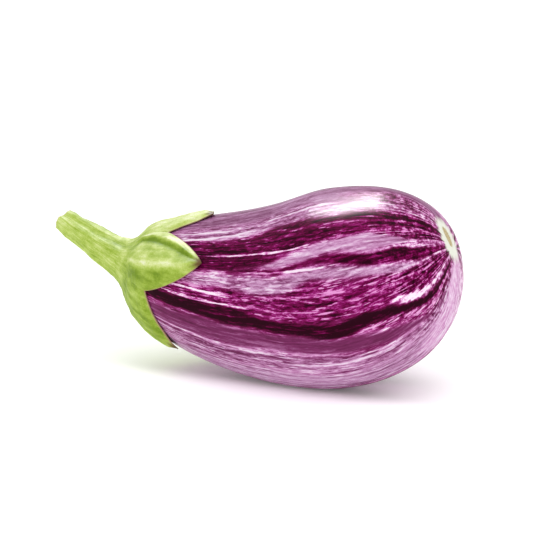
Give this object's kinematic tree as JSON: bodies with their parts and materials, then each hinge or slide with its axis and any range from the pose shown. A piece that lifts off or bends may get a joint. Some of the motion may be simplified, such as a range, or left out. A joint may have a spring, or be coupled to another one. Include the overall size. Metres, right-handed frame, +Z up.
{
  "type": "eggplant",
  "caption": "Whole striped eggplant lying on its side, with its green leafy calyx and a cut stem, for kitchen, market and still-life scenes.",
  "frame": {"origin": "middle of the small flat spot under the belly that the fruit rests on", "axes": "+Z up, +X along the fruit towards its blossom end, the stem pointing towards -X, +Y across it"},
  "size_m": [0.198, 0.0878, 0.0908],
  "materials": {
    "skin": "waxy gloss, streaked lengthwise in dark purple, magenta and pale lilac",
    "calyx": "leathery satin green with pale veins and dry brown tips",
    "stem": "satin pale green with low ribs and a dry cut end"
  },
  "bodies": {
    "root": {"fruit": "skin", "calyx": "calyx", "stem": "stem"}
  },
  "joints": []
}
